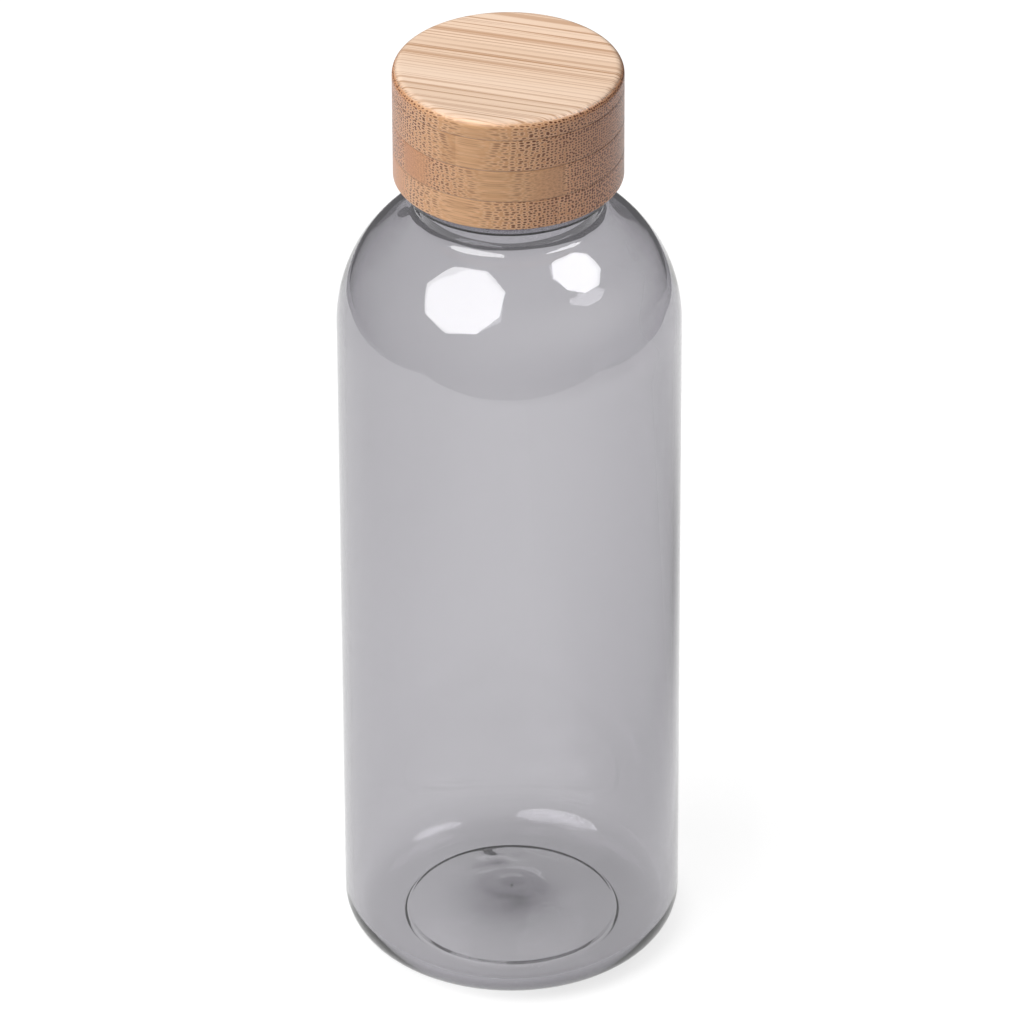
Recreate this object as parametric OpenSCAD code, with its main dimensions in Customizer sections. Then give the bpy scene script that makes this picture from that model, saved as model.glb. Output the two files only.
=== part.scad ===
// Clear tinted drinking bottle with a laminated bamboo screw cap.
// The bottle stands on Z = 0 and every round part is centred on the Z axis.

/* [Bottle] */
// Outside diameter of the barrel
body_d = 73; // [66:0.5:80]
// Height at which the barrel ends and the shoulder begins
shoulder_z = 151.7; // [120:0.1:200]
// Radius of the shoulder's arc in section
shoulder_r = 30.4; // [29.4:0.1:31.4]
// Radius of the rounded heel
heel_r = 8.5; // [6:0.1:9.5]
// Wall thickness of the barrel and the shoulder
wall_t = 1.6; // [1.2:0.1:2]
// Diameter of the ring where the base is pushed up
pushup_d = 46.4; // [40:0.2:50]
// Height of the pushed-up base at its centre
pushup_h = 3.2; // [2:0.1:5]

/* [Neck] */
// Outside diameter of the short neck under the carrying ring
neck_d = 39.6; // [39:0.1:40]
// Diameter of the carrying ring
ring_d = 44.6; // [43:0.1:46]
// Height of the carrying ring's lower edge above the shoulder's start
ring_rise = 33.1; // [33:0.1:34]
// Thickness of the carrying ring
ring_t = 2.2; // [1.6:0.1:2.4]
// Outside diameter of the finish that carries the thread
finish_d = 37.6; // [37.2:0.1:37.8]
// Diameter of the mouth
mouth_d = 34; // [33:0.1:34.4]
// Height of the finish above the carrying ring
finish_h = 16.6; // [16:0.1:17.4]

/* [Thread] */
// Lead of the thread, which has one start
lead = 4; // [3.6:0.1:4.2]
// Height of the thread's ridge above its wall
ridge_h = 1.2; // [0.9:0.1:1.3]
// Clearance between one ridge's crest and the other part's wall
ridge_gap = 0.3; // [0.25:0.05:0.4]
// Number of turns of the ridge on the bottle
bottle_turns = 1.5; // [1:0.25:2]
// Number of turns of the ridge in the cap
cap_turns = 1.25; // [1:0.25:1.5]

/* [Cap] */
// Outside diameter of the cap
cap_d = 48.4; // [47:0.1:50]
// Height of the cap
cap_h = 25.5; // [25.2:0.1:27]
// Gap between the carrying ring and the cap
cap_gap = 0.5; // [0.4:0.1:1]
// Rounding of the cap's top edge
top_edge_r = 1.9; // [1:0.1:2.5]
// Rounding of the cap's lower edge
low_edge_r = 0.3; // [0.2:0.1:0.6]
// Thickness of the lowest bamboo layer
low_ply_t = 6.7; // [6:0.1:7]
// Thickness of each of the two middle bamboo layers
mid_ply_t = 7.3; // [7:0.1:7.5]
// Direction of the bamboo's grain, turned from X
grain_angle = -17; // [-30:1:30]
// Wall of the threaded liner
liner_t = 1.3; // [1.2:0.1:1.4]
// Thickness of the liner's top
liner_top_t = 1.2; // [1:0.1:1.4]

/* [Seal] */
// Outside diameter of the sealing washer
seal_d = 39.6; // [39:0.1:40]
// Hole diameter of the sealing washer
seal_hole_d = 31.6; // [31:0.1:32]
// Thickness of the sealing washer
seal_t = 1.6; // [1.4:0.1:1.8]

/* [Hidden] */
$fn = 96;

// Bottle, in the half plane of radius and height
body_r = body_d / 2;
shoulder_c = body_r - shoulder_r;
neck_r = neck_d / 2;
ring_z = shoulder_z + ring_rise;
finish_z = ring_z + ring_t;
finish_r = finish_d / 2;
rim_z = finish_z + finish_h;
mouth_r = mouth_d / 2;
rim_round = 0.5;
ring_round = 0.4;
neck_fillet = 2;
mouth_fillet = 4;
pushup_r = pushup_d / 2;
pushup_arc = (pushup_r * pushup_r + pushup_h * pushup_h) / (2 * pushup_h);
base_t = 1.8;
gate_r = 2.2;
gate_h = 0.6;

// Thread, the same lead on both parts
ridge_root_w = 2;
ridge_crest_w = 1;
ridge_steps = 60;
ridge_fade = 8;
ridge_root_sink = 0.5;
bottle_ridge_z = finish_z + 6.5;
bore_r = finish_r + ridge_h + ridge_gap;
cap_ridge_z = bottle_ridge_z - lead / 2 + 0.3;

// Cap and what is inside it
cap_r = cap_d / 2;
cap_z = finish_z + cap_gap;
cap_top = cap_z + cap_h;
liner_r = bore_r + liner_t;
liner_z = cap_z + 0.5;
seal_r = seal_d / 2;
seal_hole_r = seal_hole_d / 2;
seal_z = rim_z + 0.05;
seal_round = 0.3;
liner_ceiling = seal_z + seal_t + 0.05;
liner_top = liner_ceiling + liner_top_t;
spigot_r = seal_hole_r - 0.4;
spigot_t = 1.6;
spigot_z = seal_z + 0.4;

// Heights of the glue lines between the bamboo layers
rim_ply_top = cap_z + low_ply_t;
lower_ply_top = rim_ply_top + mid_ply_t;
upper_ply_top = lower_ply_top + mid_ply_t;

// Edges of the bamboo strips in each layer, across the grain from the axis
top_cuts = [-12.5, 7.5];
upper_cuts = [-4.1, 15.9];
lower_cuts = [-16.8, 3.2];
rim_cuts = [-17.9, 2.1];
far = 60;

// Centre height of a fillet of radius f that joins an upright wall at
// radius r to the shoulder's arc of radius a
function fillet_z(a, r, f) = shoulder_z + sqrt(pow(a + f, 2) - pow(r + f - shoulder_c, 2));

// Half section filled from the axis to a wall, where an arc of radius a
// turns into an upright wall at radius r through a fillet of radius f
module shoulder_section(a, r, f, top) {
    fz = fillet_z(a, r, f);
    reach = a / (a + f);
    difference() {
        union() {
            translate([0, shoulder_z - 10]) square([shoulder_c + a, 10]);
            intersection() {
                translate([shoulder_c, shoulder_z]) circle(a);
                translate([0, shoulder_z]) square([far, a + 1]);
            }
            translate([0, shoulder_z]) square([r, top - shoulder_z]);
            polygon([
                [r - 0.5, fz],
                [r + f, fz],
                [shoulder_c + (r + f - shoulder_c) * reach, shoulder_z + (fz - shoulder_z) * reach],
                [r - 0.5, shoulder_z + 10]
            ]);
        }
        translate([r + f, fz]) circle(f);
    }
}

// Half section filled from the axis to a straight barrel with a rounded heel
module barrel_section(r, floor_z, round_r, top) {
    translate([0, floor_z]) square([r - round_r, top - floor_z]);
    translate([0, floor_z + round_r]) square([r, top - floor_z - round_r]);
    translate([r - round_r, floor_z + round_r]) circle(round_r);
}

// Half section of the pushed-up base, raised by lift
module pushup_section(lift) {
    intersection() {
        translate([0, pushup_h - pushup_arc + lift]) circle(pushup_arc, $fn = 360);
        translate([0, -1]) square([far, far]);
    }
}

module outer_section() {
    barrel_section(body_r, 0, heel_r, shoulder_z - 5);
    shoulder_section(shoulder_r, neck_r, neck_fillet, ring_z + 0.1);
    translate([0, ring_z]) square([ring_d / 2 - ring_round, ring_t]);
    translate([0, ring_z + ring_round]) square([ring_d / 2, ring_t - 2 * ring_round]);
    for (z = [ring_z + ring_round, finish_z - ring_round])
        translate([ring_d / 2 - ring_round, z]) circle(ring_round);
    translate([0, finish_z - 0.1]) square([finish_r, finish_h + 0.1 - rim_round]);
    translate([0, rim_z - 2]) square([finish_r - rim_round, 2]);
    translate([finish_r - rim_round, rim_z - rim_round]) circle(rim_round);
}

module inner_section() {
    difference() {
        barrel_section(body_r - wall_t, base_t, heel_r - wall_t, shoulder_z - 5);
        pushup_section(base_t);
    }
    shoulder_section(shoulder_r - wall_t, mouth_r, mouth_fillet, rim_z + 1);
}

// One turn after another of a ridge with a trapezoid section. Its root sinks
// into the wall it stands on, and its crest fades into that wall at both ends.
module ridge(wall_r, crest_r, start_z, turns) {
    outward = sign(crest_r - wall_r);
    last = round(turns * ridge_steps);
    root_r = wall_r - outward * ridge_root_sink;
    function crest(i) = wall_r + (crest_r - wall_r) * min(1, i / ridge_fade, (last - i) / ridge_fade)
        - (i == 0 || i == last ? outward * ridge_root_sink / 2 : 0);
    function at(i, r, dz) = [
        r * cos(360 * i / ridge_steps),
        r * sin(360 * i / ridge_steps),
        start_z + lead * i / ridge_steps + dz
    ];
    points = [
        for (i = [0 : last])
            each [
                at(i, root_r, -ridge_root_w / 2),
                at(i, crest(i), -ridge_crest_w / 2),
                at(i, crest(i), ridge_crest_w / 2),
                at(i, root_r, ridge_root_w / 2)
            ]
    ];
    function quad(a, b, c, d) = outward > 0 ? [d, c, b, a] : [a, b, c, d];
    faces = [
        for (i = [0 : last - 1])
            for (k = [0 : 3])
                quad(4 * i + k, 4 * i + 4 + k, 4 * i + 4 + (k + 1) % 4, 4 * i + (k + 1) % 4),
        quad(0, 1, 2, 3),
        quad(4 * last + 3, 4 * last + 2, 4 * last + 1, 4 * last)
    ];
    polyhedron(points, faces, convexity = 6);
}

// One piece of clear tinted material from the base to the rim
module bottle_body() {
    color([0.68, 0.68, 0.71, 0.6]) {
        rotate_extrude() intersection() {
            difference() {
                outer_section();
                inner_section();
                pushup_section(0);
            }
            square([far, rim_z]);
        }
        translate([0, 0, pushup_h - gate_h]) cylinder(h = gate_h + 0.5, r = gate_r);
        ridge(finish_r, finish_r + ridge_h, bottle_ridge_z, bottle_turns);
    }
}

// Soft washer between the rim and the liner
module seal_ring() {
    color([0.93, 0.93, 0.91]) rotate_extrude() {
        translate([seal_hole_r, seal_z + seal_round])
            square([seal_r - seal_hole_r, seal_t - 2 * seal_round]);
        translate([seal_hole_r + seal_round, seal_z])
            square([seal_r - seal_hole_r - 2 * seal_round, seal_t]);
        for (r = [seal_hole_r + seal_round, seal_r - seal_round])
            for (z = [seal_z + seal_round, seal_z + seal_t - seal_round])
                translate([r, z]) circle(seal_round, $fn = 24);
    }
}

// Moulded cup with the inside thread, glued into the bamboo
module cap_liner() {
    color([0.95, 0.95, 0.93]) {
        rotate_extrude() {
            translate([bore_r, liner_z]) square([liner_t, liner_top - liner_z]);
            translate([0, liner_ceiling]) square([liner_r, liner_top_t]);
            translate([spigot_r - spigot_t, spigot_z]) square([spigot_t, liner_ceiling - spigot_z + 0.1]);
        }
        ridge(bore_r, bore_r - ridge_h, cap_ridge_z, cap_turns);
    }
}

// The whole turned cap: rounded top edge, slightly eased lower edge, bored for the liner
module turned_cap() {
    difference() {
        rotate_extrude() {
            translate([0, cap_z]) square([cap_r - low_edge_r, cap_h - top_edge_r]);
            translate([0, cap_z + low_edge_r]) square([cap_r, cap_h - low_edge_r - top_edge_r]);
            translate([cap_r - low_edge_r, cap_z + low_edge_r]) circle(low_edge_r, $fn = 24);
            translate([0, cap_z + low_edge_r]) square([cap_r - top_edge_r, cap_h - low_edge_r]);
            translate([cap_r - top_edge_r, cap_top - top_edge_r]) circle(top_edge_r);
        }
        translate([0, 0, cap_z - 1]) cylinder(h = liner_top - cap_z + 1, r = liner_r);
    }
}

// Part of the cap between two heights and two edges across the grain,
// whole or only on one side of the axis along the grain
module strip(low, high, from, to, side = 0) {
    intersection() {
        turned_cap();
        rotate([0, 0, grain_angle])
            translate([side > 0 ? 0 : -far, from, low])
                cube([side == 0 ? 2 * far : far, to - from, high - low]);
    }
}

module top_ply_front() { color([0.90, 0.75, 0.58]) strip(upper_ply_top, cap_top, -far, top_cuts[0]); }
module top_ply_middle() { color([0.92, 0.78, 0.62]) strip(upper_ply_top, cap_top, top_cuts[0], top_cuts[1]); }
module top_ply_back() { color([0.90, 0.76, 0.60]) strip(upper_ply_top, cap_top, top_cuts[1], far); }

module upper_ply_front() { color([0.78, 0.60, 0.43]) strip(lower_ply_top, upper_ply_top, -far, upper_cuts[0]); }
module upper_ply_middle() {
    color([0.75, 0.56, 0.41]) strip(lower_ply_top, upper_ply_top, upper_cuts[0], upper_cuts[1]);
}
module upper_ply_back() { color([0.77, 0.59, 0.43]) strip(lower_ply_top, upper_ply_top, upper_cuts[1], far); }

module lower_ply_front() { color([0.74, 0.54, 0.38]) strip(rim_ply_top, lower_ply_top, -far, lower_cuts[0]); }
module lower_ply_left() {
    color([0.76, 0.58, 0.42]) strip(rim_ply_top, lower_ply_top, lower_cuts[0], lower_cuts[1], -1);
}
module lower_ply_right() {
    color([0.76, 0.58, 0.42]) strip(rim_ply_top, lower_ply_top, lower_cuts[0], lower_cuts[1], 1);
}
module lower_ply_back() { color([0.77, 0.60, 0.44]) strip(rim_ply_top, lower_ply_top, lower_cuts[1], far); }

module rim_ply_front() { color([0.75, 0.56, 0.40]) strip(cap_z, rim_ply_top, -far, rim_cuts[0]); }
module rim_ply_left() { color([0.77, 0.59, 0.43]) strip(cap_z, rim_ply_top, rim_cuts[0], rim_cuts[1], -1); }
module rim_ply_right() { color([0.77, 0.59, 0.43]) strip(cap_z, rim_ply_top, rim_cuts[0], rim_cuts[1], 1); }
module rim_ply_back() { color([0.75, 0.57, 0.41]) strip(cap_z, rim_ply_top, rim_cuts[1], far); }

bottle_body();
seal_ring();
cap_liner();
top_ply_front();
top_ply_middle();
top_ply_back();
upper_ply_front();
upper_ply_middle();
upper_ply_back();
lower_ply_front();
lower_ply_left();
lower_ply_right();
lower_ply_back();
rim_ply_front();
rim_ply_left();
rim_ply_right();
rim_ply_back();
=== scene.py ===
import math

import bmesh
import bpy
from mathutils import Matrix, Vector, noise


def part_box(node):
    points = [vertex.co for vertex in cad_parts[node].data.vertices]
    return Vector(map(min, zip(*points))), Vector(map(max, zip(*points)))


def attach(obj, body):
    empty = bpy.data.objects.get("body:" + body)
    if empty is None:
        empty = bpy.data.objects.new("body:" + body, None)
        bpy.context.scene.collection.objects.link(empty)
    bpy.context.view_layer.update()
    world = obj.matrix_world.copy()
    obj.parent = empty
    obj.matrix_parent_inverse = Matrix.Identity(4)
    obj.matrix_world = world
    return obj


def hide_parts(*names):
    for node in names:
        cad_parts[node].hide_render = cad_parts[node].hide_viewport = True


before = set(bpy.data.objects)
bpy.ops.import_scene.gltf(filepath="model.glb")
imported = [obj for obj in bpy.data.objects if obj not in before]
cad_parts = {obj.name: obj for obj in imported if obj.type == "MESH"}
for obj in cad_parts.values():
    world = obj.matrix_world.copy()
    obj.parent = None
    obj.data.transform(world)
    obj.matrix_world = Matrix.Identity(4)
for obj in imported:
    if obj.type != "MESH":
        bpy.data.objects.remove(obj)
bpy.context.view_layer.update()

# ---------------------------------------------------------------- sizes, in metres
MM = 0.001

bottle_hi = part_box("bottle_body")[1]
cap_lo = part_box("rim_ply_back")[0].z
cap_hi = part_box("top_ply_middle")[1].z
liner_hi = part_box("cap_liner")[1]

# the outside of the bottle
BODY_R = bottle_hi.x
RIM_Z = bottle_hi.z
SHOULDER_Z = RIM_Z - 51.9 * MM
SHOULDER_R = 30.4 * MM
SHOULDER_C = BODY_R - SHOULDER_R
SHOULDER_LIFT = 1.02
OUTER_FILLET = 2.6 * MM
HEEL_R = 8.5 * MM
PUSHUP_R = 23.2 * MM
PUSHUP_H = 3.2 * MM
FLANK_W = 0.75 * MM
FLANK_H = 0.85 * MM
CREASE_H = 0.2 * MM
CREASE_R = PUSHUP_R - 0.1 * MM
FOOT_R = PUSHUP_R + 0.05 * MM
FOOT_H = 0.02 * MM

# its neck
RING_Z = SHOULDER_Z + 33.1 * MM
RING_T = 2.2 * MM
RING_R = 22.3 * MM
RING_EASE = 0.4 * MM
NECK_R = 19.8 * MM
FINISH_R = 18.8 * MM
FINISH_Z = RING_Z + RING_T
MOUTH_R = 17 * MM
RIM_EASE = 0.5 * MM
LEAD = 4 * MM
RIDGE_H = 1.2 * MM
RIDGE_Z = FINISH_Z + 6.5 * MM
RIDGE_TURNS = 1.5
RIDGE_HALF_W = 1.0 * MM
RIDGE_FLANK = 0.5 * MM
RIDGE_FADE = 7.5

# its inside
WALL = 1.6 * MM
INNER_FILLET = 5.5 * MM
INNER_HEEL_R = 7.4 * MM
INNER_BASE_T = 1.9 * MM
GATE_EXTRA = 2.4 * MM
GATE_W = 9.5 * MM
RIPPLE_H = 0.18 * MM
LUMP_H = 0.42 * MM
FAR_LUMP_H = 0.95 * MM
SWELL_H = (0.03, 0.24)
SWELL_AT = -56
SWELL_SPREAD = 36

# the cap
CAP_R = 24.2 * MM
TOP_EDGE_R = 1.9 * MM
LOW_EDGE_R = 0.3 * MM
LINER_R = liner_hi.x
GRAIN = math.radians(-17)

# ---------------------------------------------------------------- mesh helpers


def arc(cx, cz, r, start, end, steps):
    """Points on an arc in the half plane of radius and height. Angles are in degrees from outwards."""
    out = []
    for i in range(steps + 1):
        a = math.radians(start + (end - start) * i / steps)
        out.append((cx + r * math.cos(a), cz + r * math.sin(a)))
    return out


def line(p, q, steps):
    """Points from p to q without q itself."""
    return [(p[0] + (q[0] - p[0]) * i / steps, p[1] + (q[1] - p[1]) * i / steps) for i in range(steps)]


LEAST_STEP = 0.02 * MM


def tidy(points):
    """The outline without points that lie on top of the one before."""
    out = [points[0]]
    for p in points[1:]:
        if math.dist(p, out[-1]) > LEAST_STEP:
            out.append(p)
    return out


def new_object(name, mesh, body, replaced):
    """An object that moves with a body and stands in for the CAD nodes it replaces."""
    ob = bpy.data.objects.new(name, mesh)
    bpy.context.scene.collection.objects.link(ob)
    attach(ob, body)
    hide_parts(*replaced)
    return ob


def revolve(name, outline, segments, shift=None):
    """Turns a closed outline of (radius, height) round Z. Points on the axis become one vertex.
    shift(radius, height, angle, index) gives the moved radius and height of a point."""
    verts, rows = [], []
    for index, (r, z) in enumerate(outline):
        if r < 1e-7:
            verts.append((0, 0, z))
            rows.append([len(verts) - 1] * segments)
            continue
        row = []
        for s in range(segments):
            a = 2 * math.pi * s / segments
            rr, zz = shift(r, z, a, index) if shift else (r, z)
            verts.append((rr * math.cos(a), rr * math.sin(a), zz))
            row.append(len(verts) - 1)
        rows.append(row)
    faces = []
    for low, high in zip(rows, rows[1:] + rows[:1]):
        for s in range(segments):
            t = (s + 1) % segments
            face = []
            for v in (low[s], low[t], high[t], high[s]):
                if v not in face:
                    face.append(v)
            if len(face) > 2:
                faces.append(face)
    mesh = bpy.data.meshes.new(name)
    mesh.from_pydata(verts, [], faces)
    mesh.validate()
    for p in mesh.polygons:
        p.use_smooth = True
    bm = bmesh.new()
    bm.from_mesh(mesh)
    bmesh.ops.recalc_face_normals(bm, faces=bm.faces)
    bm.to_mesh(mesh)
    bm.free()
    return mesh


def wave(x, y, z, seed, scale):
    """Smooth noise with about scale waves a metre. Each seed gives another pattern."""
    return noise.noise(Vector((x * scale + seed * 7.1, y * scale - seed * 3.7, z * scale + seed * 1.9)))


# ---------------------------------------------------------------- the bottle


def fillet_z(a, r, f):
    """Centre height of a fillet f between an upright wall at radius r and the shoulder arc a."""
    return SHOULDER_Z + math.sqrt((a + f) ** 2 - (r + f - SHOULDER_C) ** 2)


def shoulder(a, r, f, steps):
    """The shoulder arc a and the fillet f that turns it into an upright wall at radius r."""
    fz = fillet_z(a, r, f)
    meet = math.degrees(math.atan2(fz - SHOULDER_Z, r + f - SHOULDER_C))
    pts = arc(SHOULDER_C, SHOULDER_Z, a, 0, meet, steps) + arc(r + f, fz, f, 180 + meet, 180, 14)
    return [(x, SHOULDER_Z + (z - SHOULDER_Z) * SHOULDER_LIFT) for x, z in pts]


def push_arc():
    """Radius of the arc under the base, and half the angle it spans."""
    rise = PUSHUP_H - FLANK_H
    reach = PUSHUP_R - FLANK_W
    r = (reach ** 2 + rise ** 2) / (2 * rise)
    return r, math.degrees(math.asin(reach / r))


def bottle_outline():
    """Closed outline: up the outside from the base's centre, over the rim and down the inside."""
    push_r, push_edge = push_arc()
    pts = arc(0, PUSHUP_H - push_r, push_r, 90, 90 - push_edge, 60)
    pts[0] = (0, PUSHUP_H)
    pts += line(pts.pop(), (CREASE_R, CREASE_H), 6)
    pts += line((CREASE_R, CREASE_H), (FOOT_R, FOOT_H), 3)
    pts += line((FOOT_R, FOOT_H), (BODY_R - HEEL_R, 0), 6)
    pts += arc(BODY_R - HEEL_R, HEEL_R, HEEL_R, -90, 0, 20)
    pts += line(pts.pop(), (BODY_R, SHOULDER_Z), 40)
    pts += shoulder(SHOULDER_R, NECK_R, OUTER_FILLET, 44)
    soft, rim = RING_EASE, RIM_EASE
    pts += line(pts.pop(), (NECK_R, RING_Z - soft), 4)
    pts += arc(NECK_R + soft, RING_Z - soft, soft, 180, 90, 4)
    pts += arc(RING_R - soft, RING_Z + soft, soft, -90, 0, 5)
    pts += arc(RING_R - soft, FINISH_Z - soft, soft, 0, 90, 5)
    pts += [(FINISH_R + soft, FINISH_Z)]
    pts += arc(FINISH_R + soft, FINISH_Z + soft, soft, 270, 180, 4)
    pts += line(pts.pop(), (FINISH_R, RIM_Z - rim), 60)
    pts += arc(FINISH_R - rim, RIM_Z - rim, rim, 0, 90, 6)
    pts += arc(MOUTH_R + rim, RIM_Z - rim, rim, 90, 180, 6)
    down = shoulder(SHOULDER_R - WALL, MOUTH_R, INNER_FILLET, 60)[::-1]
    pts += line((MOUTH_R, RIM_Z - rim), down[0], 12)
    pts += down
    in_r = BODY_R - WALL
    pts += line(pts.pop(), (in_r, INNER_BASE_T + INNER_HEEL_R), 40)
    pts += arc(in_r - INNER_HEEL_R, INNER_BASE_T + INNER_HEEL_R, INNER_HEEL_R, 0, -90, 24)
    foot = (CREASE_R, INNER_BASE_T)
    brow = (PUSHUP_R - FLANK_W, INNER_BASE_T + FLANK_H - CREASE_H)
    pts += line(pts.pop(), foot, 4) + line(foot, brow, 7)
    top = arc(0, PUSHUP_H - push_r + INNER_BASE_T - CREASE_H, push_r, 90 - push_edge, 90, 120)
    top[-1] = (0, top[-1][1])
    return tidy(pts + top)


def ridge_height(z, a, start_z, turns):
    """Height of a screw ridge, from 0 to 1, at height z and angle a. Its ends fade out."""
    best = 0
    for lap in range(int(turns) + 2):
        along = lap + a / (2 * math.pi)
        if along > turns:
            continue
        off = abs(z - start_z - LEAD * along)
        flank = min(1, max(0, (RIDGE_HALF_W - off) / RIDGE_FLANK))
        fade = min(1, along * RIDGE_FADE, (turns - along) * RIDGE_FADE)
        best = max(best, flank * fade)
    return best * best * (3 - 2 * best)


def bell(x, centre, width):
    """1 at the centre, falling to 0 over about twice the width."""
    return math.exp(-((x - centre) / width) ** 2)


def bottle_shift(r, z, a, index):
    """Adds the thread outside, and the unevenness of a blown wall inside: thick and rippled in the
    middle of the base, and wavy at the shoulder."""
    if abs(r - FINISH_R) < 1e-6 and z > FINISH_Z:
        return r + RIDGE_H * ridge_height(z, a, RIDGE_Z, RIDGE_TURNS), z
    x, y = r * math.cos(a), r * math.sin(a)
    if index >= BASE_INSIDE:
        off = math.hypot(x, y - 3 * MM)
        extra = GATE_EXTRA * bell(r, 0, GATE_W)
        extra += RIPPLE_H * math.cos(off / (1.0 * MM)) * bell(off, 4 * MM, 3.5 * MM)
        extra += LUMP_H * wave(x, y, 0, 3, 170) * bell(math.hypot(x, y - 2 * MM), 5 * MM, 7 * MM)
        extra += FAR_LUMP_H * wave(x, y, 0, 6, 240) * bell(math.hypot(x + 4 * MM, y - 13 * MM), 0, 5 * MM)
        return r, z + extra
    if index >= INSIDE and SHOULDER_Z < z < RING_Z:
        up = math.atan2(z - SHOULDER_Z, r - SHOULDER_C)
        turned = (math.degrees(a) - SWELL_AT + 180) % 360 - 180
        height = SWELL_H[0] + SWELL_H[1] * bell(turned, 0, SWELL_SPREAD)
        swell = height * MM * math.sin(min(1, max(0, up / math.radians(42))) * 2 * math.pi)
        swell += 0.05 * MM * wave(x, y, z, 8, 90) * min(1, up / math.radians(30))
        swell += 0.16 * MM * wave(x, y, z, 11, 130) * bell(z, RING_Z - 7 * MM, 3.5 * MM)
        return r - swell * math.cos(up), z - swell * math.sin(up)
    return r, z


OUTLINE = bottle_outline()
INSIDE = max(i for i, (r, z) in enumerate(OUTLINE) if z > RIM_Z - 0.01 * MM)
BASE_INSIDE = min(i for i, (r, z) in enumerate(OUTLINE) if i > INSIDE and z < HEEL_R and r < PUSHUP_R)
bottle_mesh = revolve("bottle", OUTLINE, 256, shift=bottle_shift)
bottle = new_object("bottle", bottle_mesh, "bottle", ["bottle_body"])

# ---------------------------------------------------------------- the bamboo cap

LAYERS = {
    "rim_ply": (cap_lo, cap_lo + 6.7 * MM),
    "lower_ply": (cap_lo + 6.7 * MM, cap_lo + 14 * MM),
    "upper_ply": (cap_lo + 14 * MM, cap_lo + 21.3 * MM),
    "top_ply": (cap_lo + 21.3 * MM, cap_hi),
}
FAR = 0.1
# where each layer's glued edges lie across the grain
CUTS = {
    "top_ply": (-12.5 * MM, 7.5 * MM),
    "upper_ply": (-4.1 * MM, 15.9 * MM),
    "lower_ply": (-16.8 * MM, 3.2 * MM),
    "rim_ply": (-17.9 * MM, 2.1 * MM),
}
EASE = 0.09 * MM
# strips with a plain stretch that has hardly any bundles: where it lies across the grain, and half
# its width
QUIET = {"lower_ply_front": (-19.2 * MM, 3.2 * MM), "rim_ply_left": (-13 * MM, 5 * MM)}

# how far the grain of some strips is turned from the rest, in radians
SKEW = {
    "upper_ply_front": 0.05,
    "lower_ply_front": -0.17,
    "lower_ply_left": -0.12,
    "rim_ply_front": 0.13,
    "rim_ply_left": 0.1,
}
PATCHED = "upper_ply_front"


def layer_outline(name):
    """Closed outline of a whole layer of the turned cap, before it is cut into strips."""
    low, high = LAYERS[name]
    pts = []
    if name == "top_ply":
        pts += line((0, low), (CAP_R - EASE, low), 24)
        pts += arc(CAP_R - EASE, low + EASE, EASE, -90, 0, 3)
        pts += line(pts.pop(), (CAP_R, high - TOP_EDGE_R), 6)
        pts += arc(CAP_R - TOP_EDGE_R, high - TOP_EDGE_R, TOP_EDGE_R, 0, 90, 16)
        pts += line(pts.pop(), (0, high), 24) + [(0, high)]
        return tidy(pts)
    if name == "upper_ply":
        pts += line((0, liner_hi.z), (LINER_R, liner_hi.z), 12) + [(LINER_R, liner_hi.z), (LINER_R, low)]
    else:
        pts += line((LINER_R, high), (LINER_R, low), 6) + [(LINER_R, low)]
    edge = LOW_EDGE_R if name == "rim_ply" else EASE
    pts += arc(CAP_R - edge, low + edge, edge, -90, 0, 5)
    pts += line(pts.pop(), (CAP_R, high - EASE), 10)
    pts += arc(CAP_R - EASE, high - EASE, EASE, 0, 90, 3)
    if name == "upper_ply":
        pts += [(0, high)]
    return tidy(pts)


def cut(bm, normal, offset):
    """Keeps the side of the plane that normal points away from, and closes the cut."""
    geom = bm.verts[:] + bm.edges[:] + bm.faces[:]
    done = bmesh.ops.bisect_plane(bm, geom=geom, dist=1e-7, plane_co=normal * offset, plane_no=normal,
                                  clear_outer=True)
    edges = [e for e in done["geom_cut"] if isinstance(e, bmesh.types.BMEdge)]
    bmesh.ops.holes_fill(bm, edges=edges, sides=0)


def strip(name, layer, low, high, side, seed):
    """One bamboo strip of a layer, between two edges across the grain. side -1 keeps its left end
    only, 1 its right end, and 0 the whole strip. seed picks its place in the stalk."""
    ring = revolve(name, layer_outline(layer), 240)
    bm = bmesh.new()
    bm.from_mesh(ring)
    across = Vector((-math.sin(GRAIN), math.cos(GRAIN), 0))
    along = Vector((math.cos(GRAIN), math.sin(GRAIN), 0))
    if high < FAR:
        cut(bm, across, high)
    if low > -FAR:
        cut(bm, -across, -low)
    if side:
        cut(bm, -along * side, 0)
    bmesh.ops.recalc_face_normals(bm, faces=bm.faces)
    bm.to_mesh(ring)
    bm.free()
    ring.set_sharp_from_angle(angle=math.radians(50))
    bottom, top = LAYERS[layer]
    quiet_at, quiet_half = QUIET.get(name, (FAR, MM))
    # all three are added before any is filled, because adding one moves the others
    for title, kind in (("strip", "FLOAT_VECTOR"), ("ply", "FLOAT_VECTOR"), ("skew", "FLOAT")):
        ring.attributes.new(title, kind, "POINT")
    tone, place, skew = [ring.attributes[title].data for title in ("strip", "ply", "skew")]
    for v, t, q, k in zip(ring.vertices, tone, place, skew):
        t.vector = [seed * step % 1 for step in (0.137, 0.291, 0.413)]
        up = (v.co.z - bottom) / (top - bottom)
        quiet = max(0, 1 - abs(v.co.dot(across) - quiet_at) / quiet_half)
        q.vector = (up, min(1, 2 * quiet), float(name == PATCHED))
        k.value = SKEW.get(name, 0)
    return new_object(name + "_wood", ring, "cap", [name])


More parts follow.
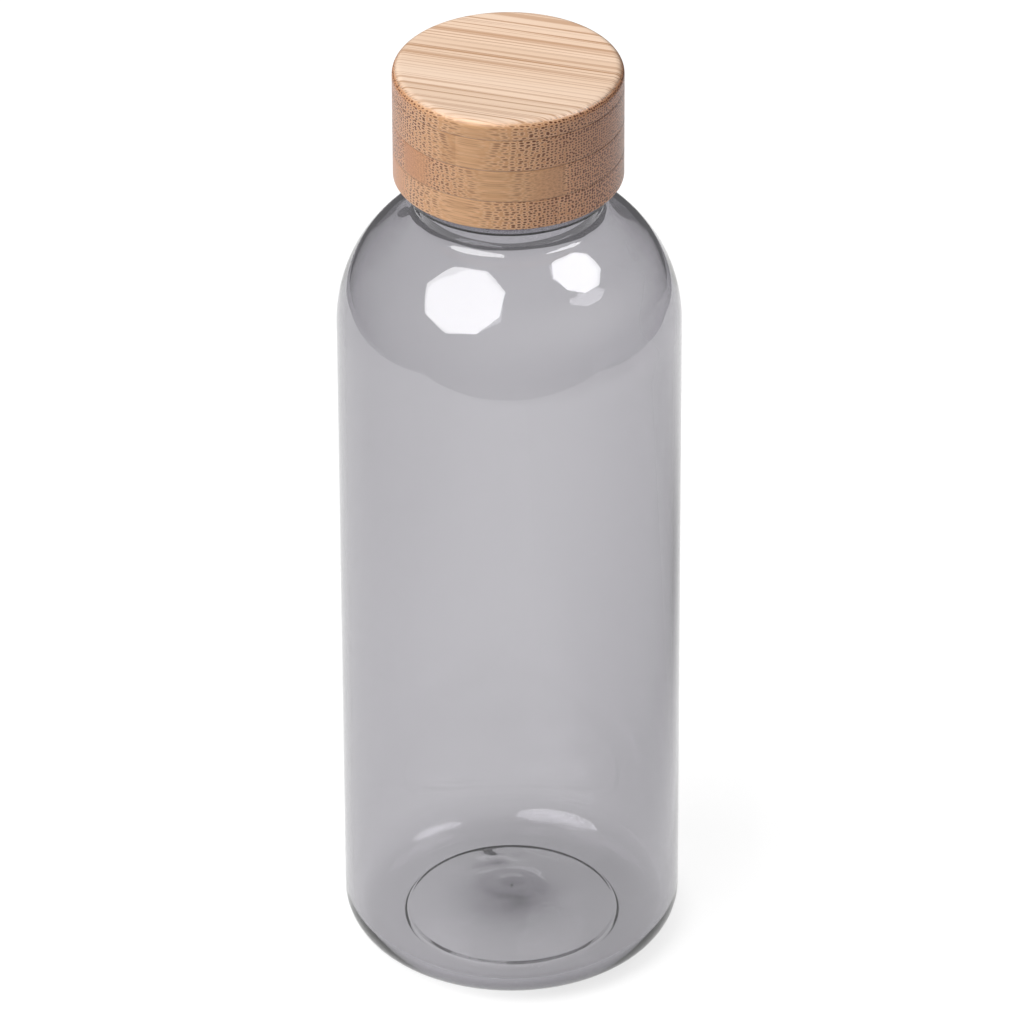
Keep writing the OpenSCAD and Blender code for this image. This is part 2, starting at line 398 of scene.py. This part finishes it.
strips = []
for layer, (near, back) in CUTS.items():
    strips.append(strip(layer + "_front", layer, -FAR, near, 0, len(strips) + 1))
    if layer in ("top_ply", "upper_ply"):
        strips.append(strip(layer + "_middle", layer, near, back, 0, len(strips) + 1))
    else:
        strips.append(strip(layer + "_left", layer, near, back, -1, len(strips) + 1))
        strips.append(strip(layer + "_right", layer, near, back, 1, len(strips) + 1))
    strips.append(strip(layer + "_back", layer, back, FAR, 0, len(strips) + 1))

# ---------------------------------------------------------------- materials


class Nodes:
    """Short calls for building a material's node tree."""

    def __init__(self, name):
        self.mat = bpy.data.materials.new(name)
        self.mat.use_nodes = True
        self.tree = self.mat.node_tree
        self.bsdf = self.tree.nodes["Principled BSDF"]
        self.out = self.tree.nodes["Material Output"]

    def add(self, kind, inputs=None, **settings):
        n = self.tree.nodes.new(kind)
        for key, value in settings.items():
            setattr(n, key, value)
        for key, value in (inputs or {}).items():
            self.put(n.inputs[key], value)
        return n

    def put(self, socket, value):
        if isinstance(value, bpy.types.NodeSocket):
            self.tree.links.new(value, socket)
        else:
            socket.default_value = value

    def math(self, op, a, b=0.5):
        return self.add("ShaderNodeMath", {0: a, 1: b}, operation=op).outputs[0]

    def vmath(self, op, a, b=None):
        n = self.add("ShaderNodeVectorMath", operation=op)
        self.put(n.inputs[0], a)
        if b is not None:
            self.put(n.inputs[1], b)
        return n.outputs["Value" if op == "LENGTH" else "Vector"]

    def range(self, value, low, high, to_low=0.0, to_high=1.0, smooth=False):
        n = self.add("ShaderNodeMapRange", clamp=True,
                     interpolation_type="SMOOTHSTEP" if smooth else "LINEAR")
        self.put(n.inputs["Value"], value)
        for key, v in (("From Min", low), ("From Max", high), ("To Min", to_low), ("To Max", to_high)):
            n.inputs[key].default_value = v
        return n.outputs[0]

    def mix(self, factor, a, b, blend="MIX"):
        n = self.add("ShaderNodeMix", data_type="RGBA", blend_type=blend)
        self.put(n.inputs[0], factor)
        self.put(n.inputs[6], a)
        self.put(n.inputs[7], b)
        return n.outputs[2]

    def noise(self, vector, scale, detail=2.0, rough=0.5):
        return self.add("ShaderNodeTexNoise", {"Vector": vector, "Scale": scale, "Detail": detail,
                                               "Roughness": rough}).outputs[0]

    def parts(self, vector):
        return self.add("ShaderNodeSeparateXYZ", {0: vector}).outputs

    def attribute(self, name, output):
        return self.add("ShaderNodeAttribute", attribute_name=name).outputs[output]

    def bump(self, height, strength, distance):
        return self.add("ShaderNodeBump", {"Height": height, "Strength": strength,
                                           "Distance": distance}).outputs[0]


# colours of the bamboo's turned side, of its top, and of the glue between the plies. The top's colours
# are paler partly by the face grain's own colour and partly as painted light, since the top faces the lamp
SIDE_DEEP = (0.62, 0.32, 0.15, 1)
SIDE_PALE = (0.85, 0.49, 0.255, 1)
SIDE_RING = (0.98, 0.72, 0.48, 1)
BUNDLE = (0.14, 0.038, 0.014, 1)
END_SHADE = (0.76, 0.45, 0.37, 1)
PATCH = (0.72, 0.62, 0.50, 1)
TOP_PALE_LIT = (0.97, 0.74, 0.57, 1)
TOP_DEEP_LIT = (0.90, 0.645, 0.465, 1)
STREAK = (0.56, 0.31, 0.17, 1)
GLUE = (0.20, 0.085, 0.04, 1)


BUNDLES_PER_METRE = 1500.0


def clear_grey():
    m = Nodes("clear_grey")
    co = m.add("ShaderNodeTexCoord").outputs["Object"]
    b = m.bsdf.inputs
    b["Base Color"].default_value = (1, 1, 1, 1)
    b["Transmission Weight"].default_value = 1
    b["IOR"].default_value = 1.54
    smudge = m.noise(co, 60.0, 3.0, 0.6)
    m.put(b["Roughness"], m.range(smudge, 0.35, 0.75, 0.0, 0.006))
    ripple = m.noise(co, 55.0, 1.0, 0.4)
    m.put(b["Normal"], m.bump(ripple, 0.015, 0.0006))
    tint = m.add("ShaderNodeVolumeAbsorption")
    tint.inputs["Color"].default_value = (0.40, 0.385, 0.43, 1)
    tint.inputs["Density"].default_value = 395
    m.tree.links.new(tint.outputs[0], m.out.inputs["Volume"])
    return m.mat


def bamboo():
    """Laminated bamboo. Its fibre bundles run along the grain, so they show as long streaks on the
    top and as dots with pale rings where the turned side cuts across them."""
    m = Nodes("bamboo")
    geo = m.add("ShaderNodeTexCoord")
    ids = m.parts(m.attribute("strip", "Vector"))
    up, quiet, patched = m.parts(m.attribute("ply", "Vector"))
    spin = m.math("ADD", m.attribute("skew", "Fac"), -GRAIN)
    turned = m.add("ShaderNodeVectorRotate", {"Vector": geo.outputs["Object"], "Angle": spin},
                   rotation_type="Z_AXIS").outputs[0]
    normal = geo.outputs["Normal"]
    faced = m.add("ShaderNodeVectorRotate", {"Vector": normal, "Angle": spin},
                  rotation_type="Z_AXIS").outputs[0]
    end_grain = m.math("ABSOLUTE", m.parts(faced)["X"])
    topness = m.range(m.parts(normal)["Z"], 0.55, 0.97, smooth=True)
    # each strip comes from another place in the stalk
    offset = m.add("ShaderNodeCombineXYZ", {"X": m.math("MULTIPLY", ids[0], 0.3),
                                            "Y": m.math("MULTIPLY", ids[1], 0.2),
                                            "Z": m.math("MULTIPLY", ids[2], 0.2)}).outputs[0]
    p = m.vmath("ADD", turned, offset)
    # the fibres wander a little along their length
    wander = m.add("ShaderNodeTexNoise", {"Vector": m.vmath("MULTIPLY", p, (14, 40, 40)), "Scale": 1.0,
                                          "Detail": 1.0}).outputs["Color"]
    p = m.vmath("ADD", p, m.vmath("MULTIPLY", wander, (0, 0.0012, 0.0012)))
    close = m.range(ids[2], 0, 1, 0.95, 1.2)
    across = m.add("ShaderNodeCombineXYZ", {"X": m.parts(p)["Y"], "Y": m.parts(p)["Z"]}).outputs[0]
    cells = m.add("ShaderNodeTexVoronoi", {"Vector": across, "Randomness": 0.5,
                                           "Scale": m.math("MULTIPLY", close, BUNDLES_PER_METRE)},
                  voronoi_dimensions="2D")
    dist = cells.outputs["Distance"]
    per_cell = m.add("ShaderNodeSeparateColor", {"Color": cells.outputs["Color"]}).outputs[0]
    # bundles: bigger towards the upper face of a strip, and fading out in its plain stretch
    size = m.math("ADD", m.range(per_cell, 0, 1, 0.15, 0.28), m.range(up, 0.7, 1.0, 0, 0.05))
    size = m.math("ADD", size, m.math("MULTIPLY", end_grain, 0.14))
    dark = m.range(m.math("SUBTRACT", size, dist), -0.04, 0.09)
    fade = m.range(m.noise(m.vmath("MULTIPLY", p, (40, 160, 160)), 1.0, 2.0), 0.35, 0.6, 0.8, 1.0)
    strength = m.math("MULTIPLY", fade, m.range(quiet, 0, 1, 1.0, 0.18))
    strength = m.math("MULTIPLY", strength, m.range(end_grain, 0.03, 0.5, 0.16, 1.0))
    dark = m.math("MULTIPLY", dark, strength)
    ring = m.range(m.math("ABSOLUTE", m.math("SUBTRACT", dist, m.math("ADD", size, 0.13))), 0.0, 0.13, 1, 0)
    # the side
    fine = m.noise(m.vmath("MULTIPLY", p, (30, 2600, 2600)), 1.0, 3.0, 0.65)
    side = m.mix(m.range(fine, 0.3, 0.7), SIDE_DEEP, SIDE_PALE)
    side = m.mix(m.math("MULTIPLY", m.math("MULTIPLY", ring, strength), 0.85), side, SIDE_RING)
    side = m.mix(m.math("MULTIPLY", dark, 0.97), side, BUNDLE)
    side = m.mix(m.math("MULTIPLY", m.math("POWER", end_grain, 1.5), 0.74), side, END_SHADE, "MULTIPLY")
    along = m.parts(turned)["X"]
    patch = m.math("MULTIPLY", m.range(along, -0.0067, -0.0058), m.range(along, -0.00285, -0.0030))
    side = m.mix(m.math("MULTIPLY", m.math("MULTIPLY", patch, patched), 0.4), side, PATCH, "MULTIPLY")
    # the top: its own streaks, on a ground made paler partly as painted light
    lines = m.noise(m.vmath("MULTIPLY", p, (4, 1900, 500)), 1.0, 2.0, 0.55)
    group = m.range(m.noise(m.vmath("MULTIPLY", p, (3, 150, 60)), 1.0, 2.0), 0.38, 0.62)
    broad = m.range(m.noise(m.vmath("MULTIPLY", p, (6, 70, 30)), 1.0, 2.0), 0.35, 0.65)
    face = m.mix(broad, TOP_DEEP_LIT, TOP_PALE_LIT)
    streak = m.math("MULTIPLY", m.range(lines, 0.52, 0.60), m.range(group, 0, 1, 0.35, 0.95))
    face = m.mix(streak, face, STREAK)
    strong = m.range(m.noise(m.vmath("MULTIPLY", p, (3, 820, 300)), 1.0, 1.0), 0.60, 0.655)
    face = m.mix(m.math("MULTIPLY", strong, 0.55), face, STREAK)
    # the top's paler colour is partly its own grain and partly painted light from facing the lamp
    wood = m.mix(topness, side, face)
    # the strips differ in tone, and thin dark glue lines part them
    tone = m.range(ids[1], 0, 1, 0.90, 1.05)
    tone_colour = m.add("ShaderNodeCombineColor", {0: tone, 1: tone, 2: tone}).outputs[0]
    wood = m.mix(1.0, wood, tone_colour, "MULTIPLY")
    to_glue = m.math("MINIMUM", up, m.math("SUBTRACT", 1.0, up))
    uneven = m.range(m.noise(m.vmath("MULTIPLY", p, (60, 60, 10)), 1.0, 2.0), 0.35, 0.6, 0.35, 1.0)
    glue = m.math("MULTIPLY", m.range(to_glue, 0.010, 0.030, 1, 0), uneven)
    glue = m.math("MULTIPLY", glue, m.math("SUBTRACT", 1.0, topness))
    wood = m.mix(m.math("MULTIPLY", glue, 0.65), wood, GLUE)
    m.put(m.bsdf.inputs["Base Color"], wood)
    m.put(m.bsdf.inputs["Roughness"], m.range(fine, 0.3, 0.7, 0.30, 0.42))
    m.bsdf.inputs["Specular IOR Level"].default_value = 0.5
    height = m.math("SUBTRACT", m.math("MULTIPLY", fine, 0.3), dark)
    m.put(m.bsdf.inputs["Normal"], m.bump(height, 0.35, 0.00006))
    return m.mat


def moulded(name, colour, scale):
    m = Nodes(name)
    co = m.add("ShaderNodeTexCoord").outputs["Object"]
    grain = m.noise(co, scale, 3.0, 0.6)
    shade = m.mix(m.noise(co, 90.0, 2.0), colour, tuple(c * 0.93 for c in colour[:3]) + (1,))
    m.put(m.bsdf.inputs["Base Color"], shade)
    m.put(m.bsdf.inputs["Roughness"], m.range(grain, 0.3, 0.7, 0.38, 0.5))
    m.put(m.bsdf.inputs["Normal"], m.bump(grain, 0.15, 0.00005))
    return m.mat


def give(ob, material):
    ob.data.materials.clear()
    ob.data.materials.append(material)


give(bottle, clear_grey())
wood = bamboo()
for s in strips:
    give(s, wood)
give(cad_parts["cap_liner"], moulded("liner_plastic", (0.86, 0.86, 0.83, 1), 2500.0))
give(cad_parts["seal_ring"], moulded("washer_rubber", (0.80, 0.80, 0.78, 1), 1800.0))

# ---------------------------------------------------------------- studio and camera


FLOOR_GLOW = 0.93


def floor_material():
    """A lit white table: most of its brightness is its own. Its glow is painted dimmer under the bottle,
    most of all on the right, away from the large lamp, as a painted contact shadow."""
    m = Nodes("pale_floor")
    co = m.add("ShaderNodeTexCoord").outputs["Object"]
    m.put(m.bsdf.inputs["Base Color"], m.mix(m.noise(co, 8.0), (0.19, 0.19, 0.19, 1), (0.21, 0.21, 0.21, 1)))
    m.bsdf.inputs["Roughness"].default_value = 0.9
    m.bsdf.inputs["Specular IOR Level"].default_value = 0.1
    m.bsdf.inputs["Emission Color"].default_value = (1, 1, 1, 1)
    # painted shadow: the table's glow under the bottle, lower on the right, away from the large lamp
    under = m.range(m.parts(co)["X"], -0.022, 0.014, 0.92, 0.73, smooth=True)
    out = m.vmath("LENGTH", co)
    painted_shadow_mask = m.math("MULTIPLY", m.range(out, 0.028, 0.0425, 1, 0, smooth=True),
                     m.range(out, 0.010, 0.025, 0.9, 1, smooth=True))
    painted_shadow_dim = m.math("MULTIPLY", painted_shadow_mask, m.math("SUBTRACT", FLOOR_GLOW, under))
    m.put(m.bsdf.inputs["Emission Strength"], m.math("SUBTRACT", FLOOR_GLOW, painted_shadow_dim))
    return m.mat


def slab(name, verts, material):
    mesh = bpy.data.meshes.new(name)
    mesh.from_pydata(verts, [], [list(range(len(verts)))])
    mesh.materials.append(material)
    ob = bpy.data.objects.new(name, mesh)
    bpy.context.scene.collection.objects.link(ob)
    return ob


def table(name, corners, height, material):
    return slab(name, [(x, y, height) for x, y in corners], material)


FLOOR_Z = -0.1 * MM
FLOOR_CORNERS = [(-0.56, -0.38), (0.58, -0.38), (0.58, 0.05), (0.50, 0.32),
                 (0.20, 0.46), (-0.20, 0.46), (-0.48, 0.32), (-0.56, 0.05)]
SHADE_Z = 0.5 * MM
SHADE_CORNERS = [(0.055, -0.38), (0.58, -0.38), (0.58, 0.10), (0.35, 0.318), (0.055, 0.318)]
table("floor", FLOOR_CORNERS, FLOOR_Z, floor_material())


def shade_material():
    """What shiny surfaces see of the table on the bottle's right: a painted shadow of the bottle, dimmer
    beside it.
    """
    m = Nodes("table_shade")
    x, y, _ = m.parts(m.add("ShaderNodeTexCoord").outputs["Object"])
    beside = m.math("MULTIPLY", m.range(x, 0.055, 0.12, 0, 1, smooth=True),
                    m.range(y, -0.26, -0.04, 0, 1, smooth=True))
    beside = m.math("MULTIPLY", beside, m.range(y, 0.10, 0.22, 1, 0, smooth=True))
    # painted shadow: how much dimmer the sheet is beside the bottle
    near = m.math("MULTIPLY", beside, m.range(x, 0.12, 0.42, 0.42, 0))
    light = m.add("ShaderNodeEmission", {"Color": (1, 1, 1, 1), "Strength": m.math("SUBTRACT", 1.08, near)})
    m.tree.links.new(light.outputs[0], m.out.inputs["Surface"])
    return m.mat


# a sheet of painted shadow, seen only by shiny surfaces and through the glass
shade = table("table_shade", SHADE_CORNERS, SHADE_Z, shade_material())
for ray in ("camera", "diffuse", "shadow"):
    setattr(shade, "visible_" + ray, False)


def emitter(name, strength):
    m = Nodes(name)
    light = m.add("ShaderNodeEmission", {"Color": (1, 1, 1, 1), "Strength": strength})
    m.tree.links.new(light.outputs[0], m.out.inputs["Surface"])
    return m.mat


LAMP_SIDES = 8
LAMP_DISTANCE = 1.0


def softbox(name, azimuth, elevation, radius, strength):
    """A flat lamp face with straight sides, turned towards the bottle's shoulder. Only shiny
    surfaces see it; the area light does the lighting."""
    a, e = math.radians(azimuth), math.radians(elevation)
    way = Vector((math.sin(a) * math.cos(e), -math.cos(a) * math.cos(e), math.sin(e)))
    centre = Vector((0, 0, SHOULDER_Z)) + way * LAMP_DISTANCE
    side = way.cross(Vector((0, 0, 1))).normalized()
    up = side.cross(way)
    verts = []
    for i in range(LAMP_SIDES):
        t = 2 * math.pi * i / LAMP_SIDES
        verts.append(centre + (side * math.cos(t) + up * math.sin(t)) * radius)
    ob = slab(name, verts, emitter(name, strength))
    ob.visible_camera = False
    ob.visible_diffuse = False
    ob.visible_shadow = False


softbox("lamp_large", -44.8, 47.2, 0.505, 8)
softbox("lamp_small", 84.7, 52.0, 0.285, 8.5)


def area_light(name, place, size, power):
    data = bpy.data.lights.new(name, "AREA")
    data.shape = "DISK"
    data.size = size
    data.energy = power
    ob = bpy.data.objects.new(name, data)
    bpy.context.scene.collection.objects.link(ob)
    ob.location = place
    ob.rotation_euler = (Vector((0, 0, 0.1)) - Vector(place)).to_track_quat("-Z", "Y").to_euler()
    ob.visible_glossy = False
    ob.visible_transmission = False
    ob.visible_camera = False


area_light("overhead", (-0.8, -0.6, 1.9), 1.6, 46)

# how bright the backdrop is to reflections, through the bottle, and to the camera
BACKDROP_REFLECTED = 0.12
BACKDROP_THROUGH = 0.34
BACKDROP_SEEN = 0.95

world = bpy.data.worlds.new("studio")
world.use_nodes = True
backdrop = world.node_tree.nodes["Background"]
backdrop.inputs[0].default_value = (1, 1, 1, 1)
path = world.node_tree.nodes.new("ShaderNodeLightPath")
through = world.node_tree.nodes.new("ShaderNodeMapRange")
level = world.node_tree.nodes.new("ShaderNodeMapRange")
through.inputs["To Min"].default_value = BACKDROP_REFLECTED
through.inputs["To Max"].default_value = BACKDROP_THROUGH
level.inputs["To Max"].default_value = BACKDROP_SEEN
world.node_tree.links.new(path.outputs["Is Transmission Ray"], through.inputs["Value"])
world.node_tree.links.new(path.outputs["Is Camera Ray"], level.inputs["Value"])
world.node_tree.links.new(through.outputs[0], level.inputs["To Min"])
world.node_tree.links.new(level.outputs[0], backdrop.inputs[1])
bpy.context.scene.world = world
bpy.context.scene.view_settings.view_transform = "Standard"

CAMERA_LENS = 315.65
CAMERA_DISTANCE = 1.92095
CAMERA_HEIGHT_ANGLE = math.radians(32.162)
CAMERA_ROLL = math.radians(0.255)
CAMERA_AIM = Vector((0.0004, 0, 0.10353))

cam_data = bpy.data.cameras.new("camera")
cam_data.lens = CAMERA_LENS
cam_data.sensor_width = 36
cam_data.clip_start = 0.1
cam_data.clip_end = 20
camera = bpy.data.objects.new("camera", cam_data)
bpy.context.scene.collection.objects.link(camera)
back = Vector((0, -math.cos(CAMERA_HEIGHT_ANGLE), math.sin(CAMERA_HEIGHT_ANGLE)))
right = Vector((1, 0, 0))
up = back.cross(right)
cos_roll, sin_roll = math.cos(CAMERA_ROLL), math.sin(CAMERA_ROLL)
right, up = right * cos_roll - up * sin_roll, right * sin_roll + up * cos_roll
axes = Matrix((right, up, back)).transposed().to_4x4()
camera.matrix_world = Matrix.Translation(CAMERA_AIM + back * CAMERA_DISTANCE) @ axes
bpy.context.scene.camera = camera
